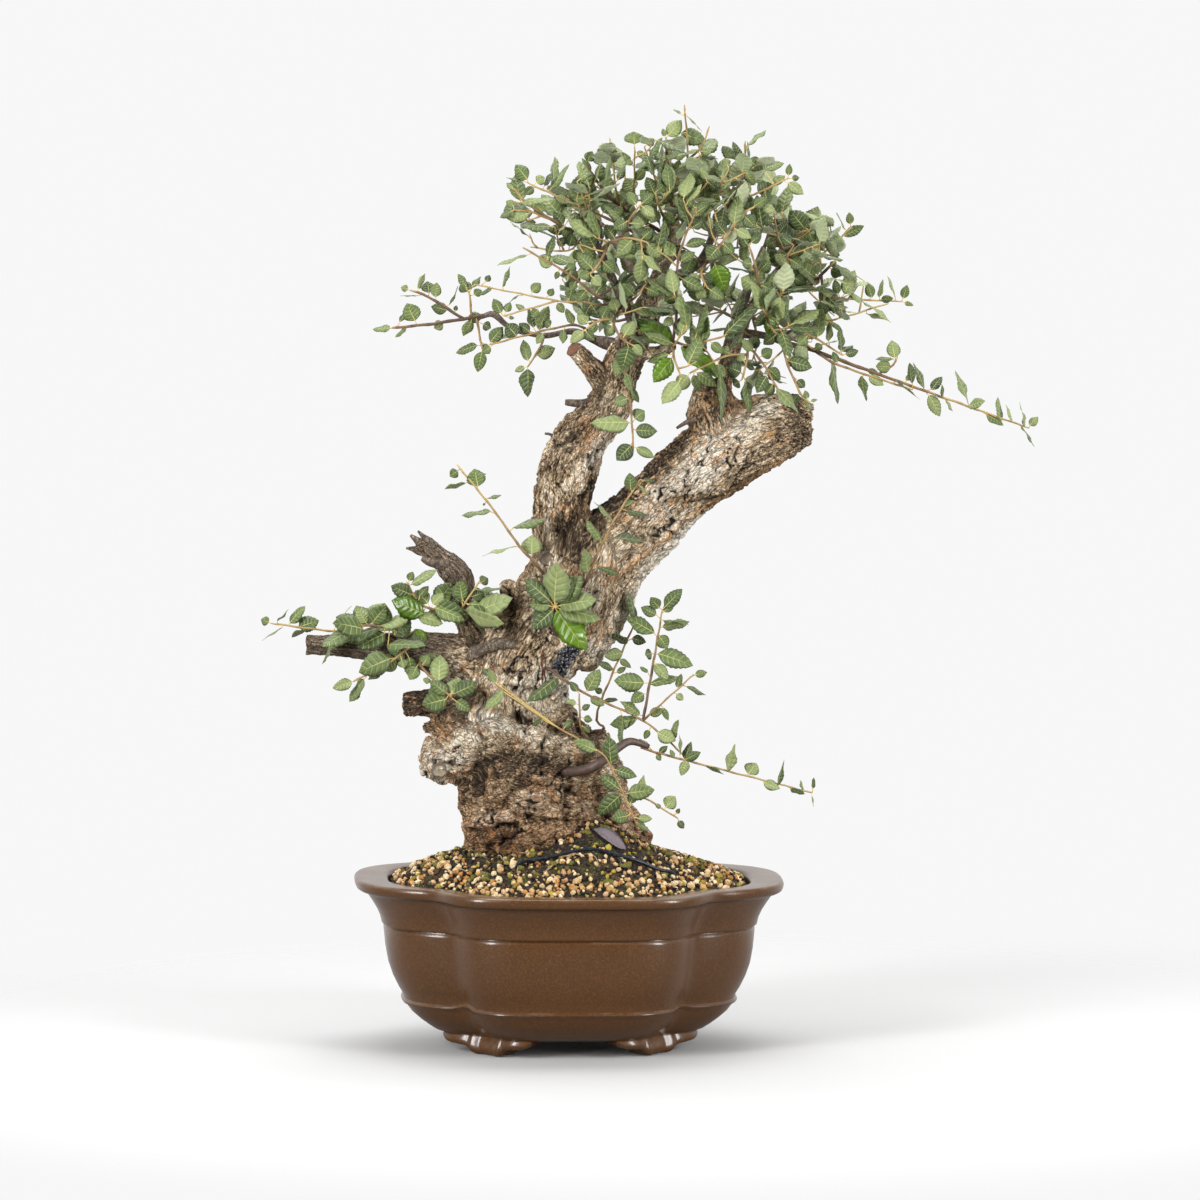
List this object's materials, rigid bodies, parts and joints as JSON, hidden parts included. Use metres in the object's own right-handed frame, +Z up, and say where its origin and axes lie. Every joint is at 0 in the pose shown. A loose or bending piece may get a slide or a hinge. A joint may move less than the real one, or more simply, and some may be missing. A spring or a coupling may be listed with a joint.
{
  "type": "cork oak bonsai",
  "caption": "Cork oak bonsai with a forked, deeply fissured corky trunk, cut stubs and a crown of small grey-green leaves, in a brown four-lobed clay pot on bracket feet.",
  "frame": {"origin": "under the middle of the bounding box, on the surface that the pot's feet stand on", "axes": "+Z up, +X to the right of the tree's front, +Y away from the viewer of its front"},
  "size_m": [0.7192, 0.3292, 0.879],
  "materials": {
    "clay": "unglazed satin brown clay",
    "bark": "corky furrowed bark, matte",
    "leaf": "grey-green leathery leaf on a tan twig, low sheen",
    "soil": "gritty mix of pale grains and dark humus",
    "wire": "anodised blue-black wire",
    "dry_leaf": "dry purplish grey leaf",
    "lattice": "black moulded mesh"
  },
  "bodies": {
    "root": {"pot": "clay", "drain_lattice_left": "lattice", "drain_lattice_right": "lattice", "soil": "soil", "trunk": "bark", "tie_wire": "wire", "fallen_leaf": "dry_leaf", "spray_left_long": "leaf", "spray_left_hanging": "leaf", "spray_left_low": "leaf", "spray_left_thin": "leaf", "spray_left_upper": "leaf", "spray_top_left": "leaf", "spray_top_left_high": "leaf", "spray_top_twigs": "leaf", "spray_crown_top": "leaf", "spray_top_right": "leaf", "spray_right_high": "leaf", "spray_right_upper": "leaf", "spray_right_mid": "leaf", "spray_right_long": "leaf", "spray_right_low": "leaf", "spray_front_right": "leaf", "spray_front_stem": "leaf", "spray_front_glossy": "leaf", "spray_front_right_mid": "leaf", "spray_front_hanging": "leaf", "spray_front_left_mid": "leaf", "spray_front_left_high": "leaf", "spray_crown_middle": "leaf", "spray_back_left": "leaf", "spray_back_left_high": "leaf", "spray_back_left_low": "leaf", "spray_back_middle": "leaf", "spray_back_deep": "leaf", "spray_back_right_high": "leaf", "spray_back_right": "leaf", "spray_back_right_low": "leaf", "spray_inner_right": "leaf", "spray_inner_middle": "leaf", "spray_inner_left": "leaf", "spray_inner_high": "leaf", "spray_inner_top": "leaf", "stub_spray_far": "leaf", "stub_spray_under": "leaf", "stub_spray_rosette": "leaf", "stub_spray_front": "leaf", "trunk_spray_rosette": "leaf", "trunk_shoot_left": "leaf", "trunk_shoot_right": "leaf", "trunk_spray_low_right": "leaf", "trunk_spray_side": "leaf", "trunk_sprig": "leaf", "branch_spray_right": "leaf", "trunk_spray_low_front": "leaf"}
  },
  "joints": []
}
